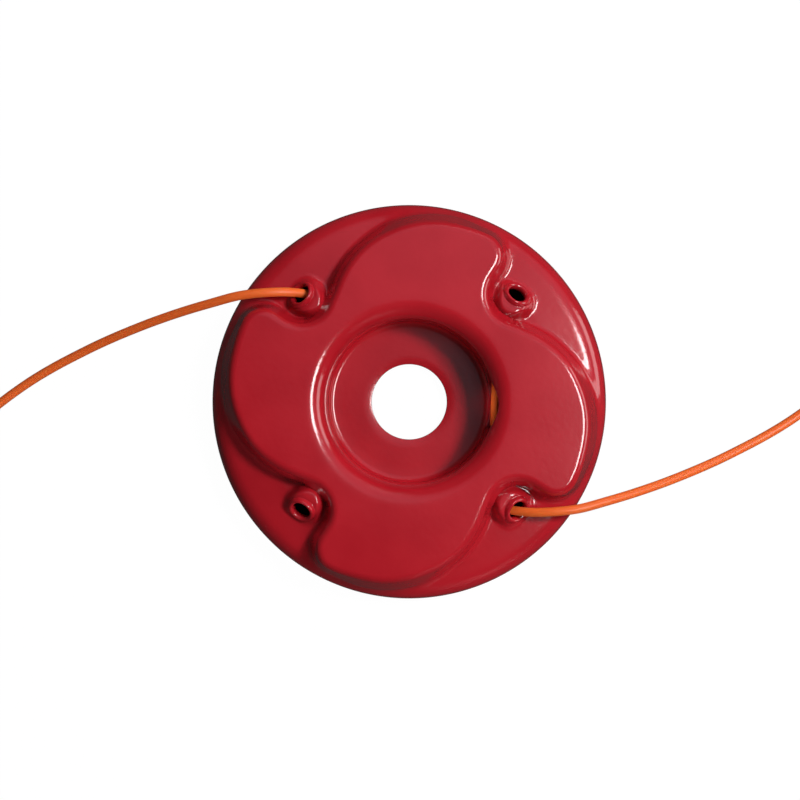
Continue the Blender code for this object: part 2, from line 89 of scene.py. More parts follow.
def smooth_path(route: np.ndarray, spacing: float) -> np.ndarray:
    """Evenly spaced points on a Catmull-Rom curve through a route's points.

    Between two points the curve is half of
    2 b + (c - a) t + (2 a - 5 b + 4 c - d) t^2 + (3 b - a - 3 c + d) t^3.

    Args:
        route: the points, one in a row.
        spacing: distance between the new points.

    Returns:
        The new points, one in a row.
    """
    ends = np.vstack([2 * route[0] - route[1], route, 2 * route[-1] - route[-2]])
    t = np.linspace(0.0, 1.0, PATH_SAMPLES, endpoint=False)[None, :, None]
    a, b, c, d = (ends[k : len(ends) - 3 + k, None, :] for k in range(4))
    dense = 0.5 * (
        2 * b + (c - a) * t + (2 * a - 5 * b + 4 * c - d) * t**2 + (3 * b - a - 3 * c + d) * t**3
    )
    dense = np.vstack([dense.reshape(-1, 3), route[-1:]])
    run = np.concatenate([[0.0], np.cumsum(np.linalg.norm(np.diff(dense, axis=0), axis=1))])
    marks = np.linspace(0.0, run[-1], int(round(run[-1] / spacing)) + 1)
    return np.column_stack([np.interp(marks, run, dense[:, axis]) for axis in range(3)])


def add_mesh(name: str, points: np.ndarray, faces: list[list[int]]) -> bpy.types.Object:
    """Put points and faces into a new smooth object at the origin.

    Args:
        name: name of the object.
        points: one point in a row.
        faces: the faces' point numbers, turning left as seen from outside.

    Returns:
        The object, linked to the scene.
    """
    mesh = bpy.data.meshes.new(name)
    mesh.from_pydata(points.tolist(), [], faces)
    mesh.validate()
    mesh.shade_smooth()
    item = bpy.data.objects.new(name, mesh)
    bpy.context.scene.collection.objects.link(item)
    return item


@dataclass(frozen=True)
class Enamel:
    """Glossy red stoved enamel on steel: a hard clear surface with a faint orange peel."""

    colour: tuple[float, float, float, float] = (0.420, 0.010, 0.018, 1.0)
    deep_colour: tuple[float, float, float, float] = (0.370, 0.007, 0.014, 1.0)
    roughness_low: float = 0.16
    roughness_high: float = 0.22
    coat: float = 0.9
    coat_roughness: float = 0.08
    specular: float = 0.45
    cloud_scale: float = 45.0
    peel_scale: float = 650.0
    peel_depth: float = 0.00003

    def material(self) -> bpy.types.Material:
        """Return the node material: two close reds in soft clouds, with a fine peel as bump."""
        material = bpy.data.materials.new("red_enamel")
        material.use_nodes = True
        tree = material.node_tree
        shader = tree.nodes["Principled BSDF"]
        place = tree.nodes.new("ShaderNodeTexCoord")
        clouds = tree.nodes.new("ShaderNodeTexNoise")
        clouds.inputs["Scale"].default_value = self.cloud_scale
        clouds.inputs["Detail"].default_value = 3.0
        tree.links.new(place.outputs["Object"], clouds.inputs["Vector"])
        ramp = tree.nodes.new("ShaderNodeValToRGB")
        ramp.color_ramp.elements[0].position = 0.35
        ramp.color_ramp.elements[0].color = self.deep_colour
        ramp.color_ramp.elements[1].position = 0.65
        ramp.color_ramp.elements[1].color = self.colour
        tree.links.new(clouds.outputs["Fac"], ramp.inputs["Fac"])
        tree.links.new(ramp.outputs["Color"], shader.inputs["Base Color"])
        gloss = tree.nodes.new("ShaderNodeMapRange")
        gloss.inputs["To Min"].default_value = self.roughness_low
        gloss.inputs["To Max"].default_value = self.roughness_high
        tree.links.new(clouds.outputs["Fac"], gloss.inputs["Value"])
        tree.links.new(gloss.outputs["Result"], shader.inputs["Roughness"])
        peel = tree.nodes.new("ShaderNodeTexNoise")
        peel.inputs["Scale"].default_value = self.peel_scale
        peel.inputs["Detail"].default_value = 1.0
        tree.links.new(place.outputs["Object"], peel.inputs["Vector"])
        bump = tree.nodes.new("ShaderNodeBump")
        bump.inputs["Strength"].default_value = 1.0
        bump.inputs["Distance"].default_value = self.peel_depth
        tree.links.new(peel.outputs["Fac"], bump.inputs["Height"])
        tree.links.new(bump.outputs["Normal"], shader.inputs["Normal"])
        tree.links.new(bump.outputs["Normal"], shader.inputs["Coat Normal"])
        shader.inputs["Specular IOR Level"].default_value = self.specular
        shader.inputs["Coat Weight"].default_value = self.coat
        shader.inputs["Coat Roughness"].default_value = self.coat_roughness
        return material


@dataclass(frozen=True)
class Nylon:
    """Orange extruded nylon: satin and a little translucent, with faint draw lines."""

    colour: tuple[float, float, float, float] = (0.800, 0.150, 0.026, 1.0)
    deep_colour: tuple[float, float, float, float] = (0.700, 0.105, 0.018, 1.0)
    roughness: float = 0.34
    specular: float = 0.45
    subsurface: float = 0.18
    subsurface_reach: float = 0.0012
    streaks_round: float = 26.0
    streaks_along: float = 30.0
    streak_depth: float = 0.00002

    def material(self) -> bpy.types.Material:
        """Return the node material: draw lines along the piece's own UV map."""
        material = bpy.data.materials.new("orange_nylon")
        material.use_nodes = True
        tree = material.node_tree
        shader = tree.nodes["Principled BSDF"]
        chart = tree.nodes.new("ShaderNodeUVMap")
        chart.uv_map = "along"
        scale = tree.nodes.new("ShaderNodeMapping")
        scale.inputs["Scale"].default_value = (self.streaks_round, self.streaks_along, 1.0)
        tree.links.new(chart.outputs["UV"], scale.inputs["Vector"])
        streaks = tree.nodes.new("ShaderNodeTexNoise")
        streaks.inputs["Scale"].default_value = 1.0
        streaks.inputs["Detail"].default_value = 2.0
        tree.links.new(scale.outputs["Vector"], streaks.inputs["Vector"])
        ramp = tree.nodes.new("ShaderNodeValToRGB")
        ramp.color_ramp.elements[0].position = 0.3
        ramp.color_ramp.elements[0].color = self.deep_colour
        ramp.color_ramp.elements[1].position = 0.7
        ramp.color_ramp.elements[1].color = self.colour
        tree.links.new(streaks.outputs["Fac"], ramp.inputs["Fac"])
        tree.links.new(ramp.outputs["Color"], shader.inputs["Base Color"])
        bump = tree.nodes.new("ShaderNodeBump")
        bump.inputs["Distance"].default_value = self.streak_depth
        tree.links.new(streaks.outputs["Fac"], bump.inputs["Height"])
        tree.links.new(bump.outputs["Normal"], shader.inputs["Normal"])
        shader.inputs["Roughness"].default_value = self.roughness
        shader.inputs["Specular IOR Level"].default_value = self.specular
        shader.inputs["Subsurface Weight"].default_value = self.subsurface
        shader.inputs["Subsurface Radius"].default_value = (1.0, 0.35, 0.15)
        shader.inputs["Subsurface Scale"].default_value = self.subsurface_reach
        return material


@dataclass(frozen=True)
class PocketPlan:
    """Outline in plan of the raised plateau, with its four pockets."""

    count: int = 4
    first_angle: float = math.radians(45)
    hole_circle: float = 0.050
    lobe_radius: float = 0.0613
    end_radius: float = 0.0090
    lead_heading: float = math.radians(113)
    trail_heading: float = math.radians(12)
    lead_turn: float = 0.034
    trail_turn: float = 0.008
    sample_steps: int = 60
    batch: int = 1500

    def angles(self) -> list[float]:
        """Angle of each pocket's hole about the bore."""
        return [self.first_angle + 2 * math.pi * k / self.count for k in range(self.count)]

    def _turn_centre(
        self, start: np.ndarray, heading: float, radius: float, way: int
    ) -> np.ndarray:
        """Centre of a turn tangent to a wall and, from inside, to the lobe's circle.

        Args:
            start: a point on the wall.
            heading: direction of the wall.
            radius: radius of the turn.
            way: 1 if the turn lies ahead of the point, -1 if behind.

        Returns:
            The centre, in plan.
        """
        base = start + radius * left_of(heading)
        along = way * unit(heading)
        half = base @ along
        reach = self.lobe_radius - radius
        return base + along * (-half + math.sqrt(half * half - base @ base + reach * reach))

    def quarter(self, steps: int) -> tuple[np.ndarray, np.ndarray]:
        """One quarter of the outline, for a pocket on +X.

        It is a turn out of the lobe, the straight lead wall, the round pocket end about the
        hole, the straight trail wall, a turn back, and the arc of the next lobe.

        Args:
            steps: samples on each of the shortest stretches.

        Returns:
            The points, and at each the unit normal that points into the pocket.
        """
        hole = np.array([self.hole_circle, 0.0])
        lead_left, trail_left = left_of(self.lead_heading), left_of(self.trail_heading)
        lead_end = hole + self.end_radius * lead_left
        trail_start = hole + self.end_radius * trail_left
        lead = self._turn_centre(lead_end, self.lead_heading, self.lead_turn, -1)
        trail = self._turn_centre(trail_start, self.trail_heading, self.trail_turn, 1)
        lead_start = lead - self.lead_turn * lead_left
        trail_end = trail - self.trail_turn * trail_left
        lead_lobe, trail_lobe = math.atan2(lead[1], lead[0]), math.atan2(trail[1], trail[0])
        lead_side, trail_side = self.lead_heading - math.pi / 2, self.trail_heading - math.pi / 2
        next_lobe = lead_lobe + 2 * math.pi / self.count

        def arc(
            centre: np.ndarray, radius: float, ends: tuple[float, float], part: int, side: int
        ) -> tuple[np.ndarray, np.ndarray]:
            """Points and normals on an arc, without its last point."""
            angles = ends[0] + (ends[1] - ends[0]) * np.arange(part * steps) / (part * steps)
            spokes = np.column_stack([np.cos(angles), np.sin(angles)])
            return centre + radius * spokes, side * spokes

        def straight(
            start: np.ndarray, end: np.ndarray, part: int, normal: np.ndarray
        ) -> tuple[np.ndarray, np.ndarray]:
            """Points and normals on a straight, without its last point."""
            share = (np.arange(part * steps) / (part * steps))[:, None]
            return start + (end - start) * share, np.repeat(normal[None, :], part * steps, axis=0)

        pocket_end = (lead_side + math.pi, trail_side + math.pi)
        stretches = [
            arc(lead, self.lead_turn, (lead_lobe, lead_side), 3, 1),
            straight(lead_start, lead_end, 3, -lead_left),
            arc(hole, self.end_radius, pocket_end, 3, -1),
            straight(trail_start, trail_end, 1, -trail_left),
            arc(trail, self.trail_turn, (trail_side, trail_lobe), 2, 1),
            arc(np.zeros(2), self.lobe_radius, (trail_lobe, next_lobe), 3, 1),
        ]
        points = np.concatenate([stretch[0] for stretch in stretches])
        normals = np.concatenate([stretch[1] for stretch in stretches])
        return points, normals

    def outline(self, steps: int) -> tuple[np.ndarray, np.ndarray]:
        """The whole outline: the quarter turned to each pocket's angle."""
        points, normals = self.quarter(steps)
        return (
            np.concatenate([turned(points, a) for a in self.angles()]),
            np.concatenate([turned(normals, a) for a in self.angles()]),
        )

    def distance(self, plan: np.ndarray) -> np.ndarray:
        """Signed distance of plan points from the outline, positive on the pocket side.

        It is the distance to the nearest of many samples of the outline, with the sign of the
        offset's component along that sample's normal.
        """
        points, normals = self.outline(self.sample_steps)
        result = []
        for part in np.array_split(plan, max(1, len(plan) // self.batch)):
            gaps = part[:, None, :] - points[None, :, :]
            nearest = np.argmin(np.einsum("ijk,ijk->ij", gaps, gaps), axis=1)
            rows = np.arange(len(part))
            across = np.einsum("ij,ij->i", gaps[rows, nearest], normals[nearest])
            length = np.linalg.norm(gaps[rows, nearest], axis=1)
            result.append(np.where(across < 0, -length, length))
        return np.concatenate(result)


@dataclass(frozen=True)
class LineHole:
    """A line hole with its rolled collar, and the tilted seat that it stands in.

    The seat is whole to flat_radius and faded out over fade_width. Up the slope a length counts
    as inner_share of itself, so that the seat reaches farther in and covers the line.
    The toes are points (reach from the axis, height over the seat) of the collar's two fillets.
    """

    line: float = 0.003
    clearance: float = 0.0028
    tilt: float = math.radians(42)
    turn: float = math.radians(10)
    lip_width: float = 0.0019
    lip_length: float = 0.0028
    lip_proud: float = 0.0011
    lift: float = 0.0028
    rise: float = 0.0025
    flat_radius: float = 0.0044
    fade_width: float = 0.0042
    blend: float = 0.0024
    inner_share: float = 0.70
    loop: float = 0.0052
    rigid_reach: float = 0.0041
    roll: tuple[float, float] = (math.radians(28), math.radians(330))
    roll_steps: int = 22
    upper_toe: tuple[tuple[float, float], ...] = (
        (0.00508, 0.00001),
        (0.00495, 0.00005),
        (0.00482, 0.00012),
    )
    lower_toe: tuple[tuple[float, float], ...] = (
        (0.00482, -0.00166),
        (0.00495, -0.00157),
        (0.00508, -0.00152),
    )
    sides: int = 72

    def radius(self) -> float:
        """Radius of the clear hole: half of the line and its clearance."""
        return (self.line + self.clearance) / 2

    def axes(self, angle: float) -> tuple[np.ndarray, np.ndarray, np.ndarray]:
        """Unit vectors of the seat: down its slope, across it, and square to it."""
        bearing = angle + self.turn
        out, side = unit(bearing), left_of(bearing)
        down = np.array([*(out * math.cos(self.tilt)), -math.sin(self.tilt)])
        square = np.array([*(out * math.sin(self.tilt)), math.cos(self.tilt)])
        return down, np.array([*side, 0.0]), square


@dataclass
class PressedSheet:
    """The one-piece steel head, worked out as a height over its plan.

    The lobe_ease pairs are where a wall's slope starts to ease, and over how much: two in degrees
    past the last pocket's hole, one in metres from the bore's axis. A seat_patch is half of a
    seat's fine grid, down its slope and across, and seat_clear is where the coarse grid resumes.

    Inside the skirt the height is plateau - drop, where drop follows the signed distance from
    the pockets' outline: a round edge, a slope and a round foot. The seats of the line holes
    are blended in above the pocket floors. The cup and the skirt are surfaces of revolution.
    """

    plan: PocketPlan = field(default_factory=PocketPlan)
    hole: LineHole = field(default_factory=LineHole)
    finish: Enamel = field(default_factory=Enamel)
    sheet: float = 0.0015
    diameter: float = 0.132
    height: float = 0.021
    bore: float = 0.0254
    rim_fillet: float = 0.006
    rim_split: float = math.radians(45)
    cup_lift: float = 0.0015
    cup_bottom: float = 0.0272
    cup_mouth: float = 0.0275
    floor_fillet: float = 0.0022
    mouth_fillet: float = 0.006
    plateau_fall: float = 0.0008
    pocket_depth: float = 0.0084
    pocket_fall: float = 0.0010
    wall_slope: float = math.radians(70)
    lobe_slope: float = math.radians(62)
    lobe_ease_in: tuple[float, float] = (20.0, 12.0)
    lobe_ease_out: tuple[float, float] = (50.0, 14.0)
    lobe_ease_reach: tuple[float, float] = (0.050, 0.005)
    edge_radius: float = 0.0028
    foot_radius: float = 0.0020
    cut_edge: float = 0.00025
    window_angle: float = math.radians(-2)
    window_half_width: float = 0.0112
    window_sill: float = 0.0055
    window_shoulder: float = 0.0105
    window_crown: float = 0.0192
    window_reach: float = 0.0340
    window_corner: float = 0.0015
    easing: float = 0.0018
    easing_rows: int = 4
    round_steps: int = 400
    outline_steps: int = 13
    wall_steps: int = 8
    grid: float = 0.0012
    seat_grid: float = 0.00045
    seat_patch: tuple[float, float] = (0.0072, 0.0093)
    seat_clear: tuple[float, float] = (0.0075, 0.0095)
    wall_margin: float = 0.0003
    ring_margin: float = 0.0006
    loop_margin: float = 0.0002
    slope_step: float = 0.00005
    sharp_angle: float = math.radians(42)

    def plateau(self, radius: np.ndarray) -> np.ndarray:
        """Height of the plateau: it falls with the square of the way to the skirt."""
        start = self.cup_mouth + self.mouth_fillet
        share = np.clip((radius - start) / (self.diameter / 2 - start), 0, 1)
        return self.height - self.plateau_fall * share**2

    def pocket_floor(self, radius: np.ndarray) -> np.ndarray:
        """Height of a pocket's floor: it falls evenly from the hole's circle to the skirt."""
        start = self.plan.hole_circle
        share = np.clip((radius - start) / (self.diameter / 2 - start), 0, 1)
        return self.height - self.pocket_depth - self.pocket_fall * share

    def slope_at(self, plan: np.ndarray) -> np.ndarray:
        """Slope of the nearest wall: steep in the pockets, gentler along the outside of a lobe.

        It is wall_slope + (lobe_slope - wall_slope) a (1 - b) c, where a, b and c are smooth
        steps: in and out with the bearing past the last pocket's hole, and in with the radius.
        """
        quarter = 2 * math.pi / self.plan.count
        bearing = (np.arctan2(plan[:, 1], plan[:, 0]) - self.plan.first_angle) % quarter
        degrees = np.degrees(bearing)
        (start, rise), (end, fall) = self.lobe_ease_in, self.lobe_ease_out
        inner, width = self.lobe_ease_reach
        share = smoothstep((degrees - start) / rise) * (1 - smoothstep((degrees - end) / fall))
        share = share * smoothstep((np.linalg.norm(plan, axis=1) - inner) / width)
        return self.wall_slope + (self.lobe_slope - self.wall_slope) * share

    def _wall_parts(self, slope: np.ndarray | float) -> tuple[np.ndarray | float, ...]:
        """Plan widths of a wall's edge and foot, and the drop over each."""
        sine, left = np.sin(slope), 1 - np.cos(slope)
        return (
            self.edge_radius * sine,
            self.foot_radius * sine,
            self.edge_radius * left,
            self.foot_radius * left,
        )

    def wall_drop(self, distance: np.ndarray, depth: np.ndarray, slope: np.ndarray) -> np.ndarray:
        """Drop below the plateau across a pocket wall: circle, straight slope, circle."""
        edge, foot, edge_drop, foot_drop = self._wall_parts(slope)
        width = edge + foot + (depth - edge_drop - foot_drop) / np.tan(slope)
        x = np.clip(distance + width / 2, 0, width)
        on_edge = self.edge_radius - np.sqrt(self.edge_radius**2 - np.minimum(x, edge) ** 2)
        rest = np.minimum(width - x, foot)
        on_foot = depth - self.foot_radius + np.sqrt(self.foot_radius**2 - rest**2)
        on_slope = edge_drop + (x - edge) * np.tan(slope)
        return np.where(x < edge, on_edge, np.where(x > width - foot, on_foot, on_slope))

    def wall_offsets(self, steps: int) -> np.ndarray:
        """Distances from the outline at which the mesh follows a steep wall.

        A few rows lie before the edge, for the gentler walls outside the lobes, which are wider.
        """
        edge, foot, edge_drop, foot_drop = self._wall_parts(self.wall_slope)
        straight = (self.pocket_depth - edge_drop - foot_drop) / math.tan(self.wall_slope)
        half = (edge + straight + foot) / 2
        turn = self.wall_slope * np.arange(steps + 1) / steps
        on_edge = self.edge_radius * np.sin(turn) - half
        on_foot = half - self.foot_radius * np.sin(turn[::-1])
        before = -half - np.arange(self.easing_rows, 0, -1) * self.easing / self.easing_rows
        return np.concatenate([before, on_edge, on_foot])

    def _higher(self, a: np.ndarray, b: np.ndarray, width: float) -> np.ndarray:
        """The higher of two heights with a round valley: max + (width - |a - b|)^2 / 4 width."""
        return np.maximum(a, b) + np.maximum(width - np.abs(a - b), 0) ** 2 / (4 * width)

    def seat_centre(self) -> float:
        """Height of a line hole's centre."""
        return self.height - self.pocket_depth + self.hole.lift

    def seat_frame(self, plan: np.ndarray) -> tuple[np.ndarray, np.ndarray]:
        """How far plan points lie down the slope from their nearest hole, and across it."""
        quarter = 2 * math.pi / self.plan.count
        bearing = np.arctan2(plan[:, 1], plan[:, 0]) - self.plan.first_angle
        folded = (bearing + quarter / 2) % quarter - quarter / 2
        radius = np.linalg.norm(plan, axis=1)
        outward = radius * np.cos(folded) - self.plan.hole_circle
        across = radius * np.sin(folded)
        cosine, sine = math.cos(self.hole.turn), math.sin(self.hole.turn)
        return outward * cosine + across * sine, across * cosine - outward * sine

    def seat(self, plan: np.ndarray, floor: np.ndarray) -> np.ndarray:
        """Height of the tilted seats: a slope with a round top, faded out all round the hole.

        With s the side and u the run, counted as u / cos(tilt) down the slope and as a share of u
        up it, the fade is 1 - smoothstep((hypot(u, s) - flat_radius) / fade_width).
        """
        hole = self.hole
        run, side = self.seat_frame(plan)
        slope = self.seat_centre() - math.tan(hole.tilt) * run
        slope = -self._higher(-slope, np.full_like(slope, -self.seat_centre() - hole.rise), hole.blend)
        stretch = np.where(run > 0, 1 / math.cos(hole.tilt), hole.inner_share)
        reach = np.hypot(run * stretch, side)
        fade = 1 - smoothstep((reach - hole.flat_radius) / hole.fade_width)
        return floor - hole.blend + (slope - floor + hole.blend) * fade

    def rim_drop(self, radius: np.ndarray) -> np.ndarray:
        """Drop of the skirt's round edge: R - sqrt(R^2 - x^2), x from one R inside the rim."""
        reach = np.clip(radius - (self.diameter / 2 - self.rim_fillet), 0, self.rim_fillet)
        return self.rim_fillet - np.sqrt(self.rim_fillet**2 - reach**2)

    def surface(self, plan: np.ndarray) -> np.ndarray:
        """Height of the upper face over plan points, before the skirt's round edge drops it."""
        radius = np.linalg.norm(plan, axis=1)
        plateau, floor = self.plateau(radius), self.pocket_floor(radius)
        drop = self.wall_drop(self.plan.distance(plan), plateau - floor, self.slope_at(plan))
        pressed = plateau - drop
        seat = self._higher(pressed, self.seat(plan, floor), self.hole.blend)
        high = pressed > plateau - self.foot_radius / 2
        return np.where(high, pressed, np.minimum(seat, plateau))

    def surface_normals(self, plan: np.ndarray) -> np.ndarray:
        """Unit normals of the upper face from central differences and the rim's own circle.

        Where the round edge stands at a turn t, the normal is
        sin t (-dz/dx, -dz/dy, 1) + cos t (x / r, y / r, 0), made a unit long.
        """
        step = self.slope_step
        shifts = np.array([[step, 0], [-step, 0], [0, step], [0, -step]])
        east, west, north, south = (self.surface(plan + shift) for shift in shifts)
        slopes = np.column_stack([west - east, south - north, np.full(len(plan), 2 * step)])
        radius = np.linalg.norm(plan, axis=1)
        start = self.diameter / 2 - self.rim_fillet
        cosine = np.clip((radius - start) / self.rim_fillet, 0, 1)
        sine = np.sqrt(1 - cosine**2)
        normals = slopes / (2 * step) * sine[:, None]
        normals[:, :2] += plan / radius[:, None] * cosine[:, None]
        return normals / np.linalg.norm(normals, axis=1)[:, None]

    def _ring(self, radius: float, height: float) -> np.ndarray:
        """A level ring: (radius cos a, radius sin a, height)."""
        angles = 2 * math.pi * np.arange(self.round_steps) / self.round_steps
        return np.column_stack(
            [radius * np.cos(angles), radius * np.sin(angles), np.full_like(angles, height)]
        )

    def _ring_normals(self, tilt: float) -> np.ndarray:
        """Unit normals of a ring, at an angle of tilt above the outward direction."""
        return self._ring(math.cos(tilt), math.sin(tilt))

    def cup_rings(self) -> tuple[list[np.ndarray], list[np.ndarray]]:
        """Rings and normals from the bore over the cup's floor, fillets and wall.

        On a fillet of radius R about (r0, z0), a ring lies at (r0 + R cos t, z0 + R sin t).
        """
        floor = self.cup_lift + self.sheet
        start = self.bore / 2 + self.cut_edge
        foot = self.cup_bottom - self.floor_fillet
        rings, normals = [], []
        for radius in np.linspace(start, foot, 5)[:-1]:
            rings.append(self._ring(radius, floor))
            normals.append(self._ring_normals(math.pi / 2))
        for turn in np.linspace(-math.pi / 2, 0, 9):
            reach = foot + self.floor_fillet * math.cos(turn)
            rise = floor + self.floor_fillet * (1 + math.sin(turn))
            rings.append(self._ring(reach, rise))
            normals.append(self._ring_normals(turn + math.pi))
        mouth = self.cup_mouth + self.mouth_fillet
        base = self.height - self.mouth_fillet
        low = floor + self.floor_fillet
        for share in (0.25, 0.5, 0.75):
            reach = self.cup_bottom + (self.cup_mouth - self.cup_bottom) * share
            rings.append(self._ring(reach, low + (base - low) * share))
            normals.append(self._ring_normals(math.pi))
        for turn in np.linspace(math.pi, math.pi / 2, 15):
            reach = mouth + self.mouth_fillet * math.cos(turn)
            rings.append(self._ring(reach, base + self.mouth_fillet * math.sin(turn)))
            normals.append(self._ring_normals(turn))
        return rings, normals

    def skirt_rings(self) -> tuple[list[np.ndarray], list[np.ndarray]]:
        """Rings and normals over the steep part of the skirt's round edge and down to its end.

        The first ring is also the middle zone's outer ring.
        """
        start = self.diameter / 2 - self.rim_fillet
        rings, normals = [], []
        for turn in np.linspace(self.rim_split, 0, 8):
            ring = self._ring(start + self.rim_fillet * math.cos(turn), 0.0)
            ring[:, 2] = self.surface(ring[:, :2]) - self.rim_fillet * (1 - math.sin(turn))
            rings.append(ring)
            normals.append(self.surface_normals(ring[:, :2]))
        low = rings[-1][:, 2]
        for share in (0.5, 1.0):
            ring = self._ring(self.diameter / 2, 0.0)
            ring[:, 2] = low + (self.cut_edge - low) * share
            rings.append(ring)
            normals.append(self._ring_normals(0.0))
        return rings, normals

    def hole_loop(self, angle: float) -> np.ndarray:
        """Plan points of the loop round a hole where its collar starts."""
        down, across, _ = self.hole.axes(angle)
        turn = 2 * math.pi * np.arange(self.hole.sides) / self.hole.sides
        spokes = np.outer(np.cos(turn), down[:2]) + np.outer(np.sin(turn), across[:2])
        return self.plan.hole_circle * unit(angle) + self.hole.loop * spokes

    def outside_loops(self, plan: np.ndarray, margin: float) -> np.ndarray:
        """Whether plan points are outside every hole's loop by a margin."""
        run, side = self.seat_frame(plan)
        return np.hypot(run / math.cos(self.hole.tilt), side) > self.hole.loop + margin

    def fill_points(self, edge: float) -> np.ndarray:
        """Plan points away from the walls: a polar grid, and a finer square one on the seats."""
        inner = self.cup_mouth + self.mouth_fillet
        parts = []
        for row, radius in enumerate(np.arange(inner + self.grid, edge - self.grid / 2, self.grid)):
            count = int(2 * math.pi * radius / self.grid)
            turn = 2 * math.pi * (np.arange(count) + 0.5 * (row % 2)) / count
            parts.append(radius * np.column_stack([np.cos(turn), np.sin(turn)]))
        coarse = np.concatenate(parts)
        run, side = self.seat_frame(coarse)
        clear_run, clear_side = self.seat_clear
        coarse = coarse[(np.abs(run) > clear_run) | (np.abs(side) > clear_side)]
        steps, stops = (np.arange(-half, half + 0.00001, self.seat_grid) for half in self.seat_patch)
        local = np.stack(np.meshgrid(steps, stops), axis=-1).reshape(-1, 2)
        spot = turned(local, self.hole.turn) + np.array([self.plan.hole_circle, 0.0])
        fine = np.concatenate([turned(spot, a) for a in self.plan.angles()])
        points = np.concatenate([coarse, fine])
        offsets = self.wall_offsets(self.wall_steps)
        distance = self.plan.distance(points)
        clear = distance < offsets[0] - self.wall_margin
        clear |= distance > offsets[-1] + self.wall_margin
        clear &= np.linalg.norm(points, axis=1) < edge - self.ring_margin
        return points[clear & self.outside_loops(points, self.wall_margin)]

    def middle_zone(
        self, inner: np.ndarray, outer: np.ndarray
    ) -> tuple[np.ndarray, np.ndarray, list[np.ndarray]]:
        """Triangles in plan between two round rings, with edges along the pocket walls.

        Args:
            inner: plan points of the ring round the cup.
            outer: plan points of the ring inside the skirt.

        Returns:
            The points, the triangles, and the point numbers of the inner ring, the outer ring
            and each hole's loop.
        """
        edge = float(np.linalg.norm(outer[0]))
        loops = [inner, outer] + [self.hole_loop(a) for a in self.plan.angles()]
        parts, edges, total = [], [], 0
        for loop in loops:
            places = np.arange(len(loop)) + total
            edges.append(np.column_stack([places, np.roll(places, -1)]))
            parts.append(loop)
            total += len(loop)
        fixed = total
        points, normals = self.plan.outline(self.outline_steps)
        for offset in self.wall_offsets(self.wall_steps):
            curve = points + offset * normals
            keep = np.linalg.norm(curve, axis=1) < edge - self.ring_margin
            keep &= self.outside_loops(curve, self.loop_margin)
            places = np.cumsum(keep) - 1 + total
            joined = keep & np.roll(keep, -1)
            edges.append(np.column_stack([places, np.roll(places, -1)])[joined])
            parts.append(curve[keep])
            total += int(keep.sum())
        parts.append(self.fill_points(edge))
        plan = np.concatenate(parts)
        vectors = [Vector(p) for p in (plan * 1000).tolist()]
        result = delaunay_2d_cdt(vectors, np.concatenate(edges).tolist(), [], 0, 1e-5)
        spots = np.array([tuple(p) for p in result[0]]) / 1000
        faces = np.array(result[2])
        middle = spots[faces].mean(axis=1)
        inside = np.linalg.norm(inner[0]) * math.cos(math.pi / len(inner))
        faces = faces[(np.linalg.norm(middle, axis=1) > inside) & self.outside_loops(middle, -0.00001)]
        where = np.zeros(fixed, dtype=int)
        for place, sources in enumerate(result[3]):
            for source in sources:
                if source < fixed:
                    where[source] = place
        numbers = np.split(where, np.cumsum([len(loop) for loop in loops])[:-1])
        return spots, faces, numbers

    def collar(self, angle: float, loop: np.ndarray, normals: np.ndarray) -> list[np.ndarray]:
        """Rings of one rolled collar, from the upper face through the hole to the lower face.

        The collar's section is an oval about (radius + width / 2, proud - length / 2); it runs
        into both faces through a short fillet, and the rings are that section carried round
        the hole's axis. Near its loop each ring is blended into the sheet's own faces.

        Args:
            angle: angle of the hole about the bore.
            loop: points of the hole's loop on the upper face.
            normals: the face's normals there.

        Returns:
            The rings between the loop on the upper face and the one on the lower face.
        """
        hole = self.hole
        down, across, square = hole.axes(angle)
        centre = np.array([*(self.plan.hole_circle * unit(angle)), self.seat_centre()])
        middle = hole.radius() + hole.lip_width / 2
        rise = hole.lip_proud - hole.lip_length / 2
        turn = np.linspace(*hole.roll, hole.roll_steps)
        oval = np.column_stack(
            [
                middle + hole.lip_width / 2 * np.cos(turn),
                rise + hole.lip_length / 2 * np.sin(turn),
            ]
        )
        profile = np.concatenate([np.array(hole.upper_toe), oval, np.array(hole.lower_toe)])
        around = 2 * math.pi * np.arange(hole.sides) / hole.sides
        spokes = np.outer(np.cos(around), down) + np.outer(np.sin(around), across)
        rings = []
        for reach, height in profile:
            flat = centre + reach * spokes + height * square
            shell = loop + height * normals + (reach - hole.loop) * spokes
            share = float(smoothstep((reach - hole.rigid_reach) / (hole.loop - hole.rigid_reach)))
            rings.append(flat + (shell - flat) * share)
        return rings

